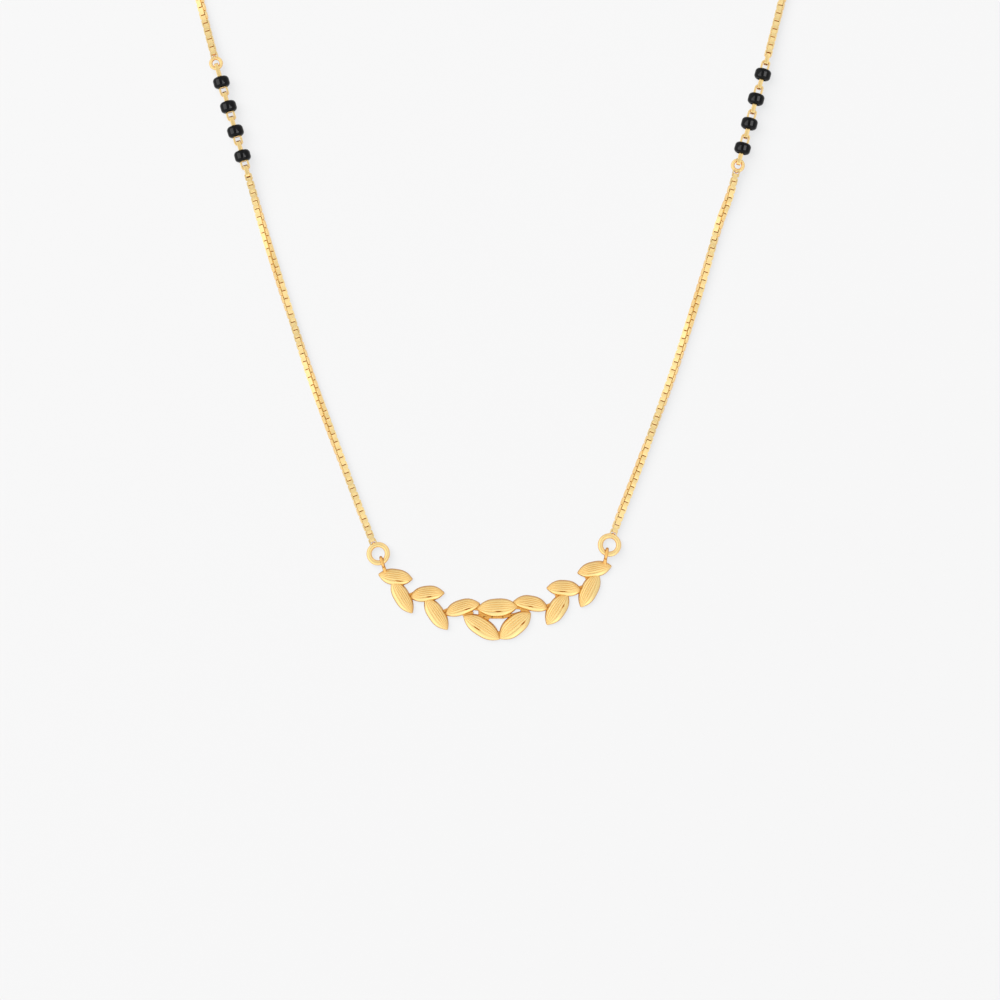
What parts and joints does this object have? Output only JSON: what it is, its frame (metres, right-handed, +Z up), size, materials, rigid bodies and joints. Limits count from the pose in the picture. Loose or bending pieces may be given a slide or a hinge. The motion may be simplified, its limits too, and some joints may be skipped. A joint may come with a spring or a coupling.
{
  "type": "mangalsutra necklace with a leaf spray pendant",
  "caption": "Gold necklace laid flat: a fine box chain, two groups of black beads on wire pins, a leaf spray pendant on jump rings and a hook clasp.",
  "frame": {"origin": "middle of the necklace's bounding box, on the surface that it lies on", "axes": "+Y from the pendant towards the clasp, +X to the picture's right, +Z up from the surface"},
  "size_m": [0.096, 0.1944, 0.0021],
  "materials": {
    "cast_gold": "satin yellow gold, polished along each leaf's lower band",
    "chain_gold": "polished yellow gold",
    "wire_gold": "polished yellow gold wire",
    "black_glass": "opaque black glass, fire polished"
  },
  "bodies": {
    "root": {"leaf_pendant": "cast_gold", "pendant_ring_left": "wire_gold", "pendant_ring_right": "wire_gold", "chain_left_lower": "chain_gold", "chain_left_upper": "chain_gold", "chain_right_lower": "chain_gold", "chain_right_upper": "chain_gold", "bead_left_1": "black_glass", "bead_left_2": "black_glass", "bead_left_3": "black_glass", "bead_left_4": "black_glass", "bead_right_1": "black_glass", "bead_right_2": "black_glass", "bead_right_3": "black_glass", "bead_right_4": "black_glass", "bead_pin_left_1": "wire_gold", "bead_pin_left_2": "wire_gold", "bead_pin_left_3": "wire_gold", "bead_pin_left_4": "wire_gold", "bead_pin_right_1": "wire_gold", "bead_pin_right_2": "wire_gold", "bead_pin_right_3": "wire_gold", "bead_pin_right_4": "wire_gold", "bead_ring_left": "wire_gold", "bead_ring_right": "wire_gold", "end_link_left": "wire_gold", "end_link_right": "wire_gold", "end_ring_left": "wire_gold", "end_ring_right": "wire_gold", "hook_clasp": "wire_gold"}
  },
  "joints": []
}
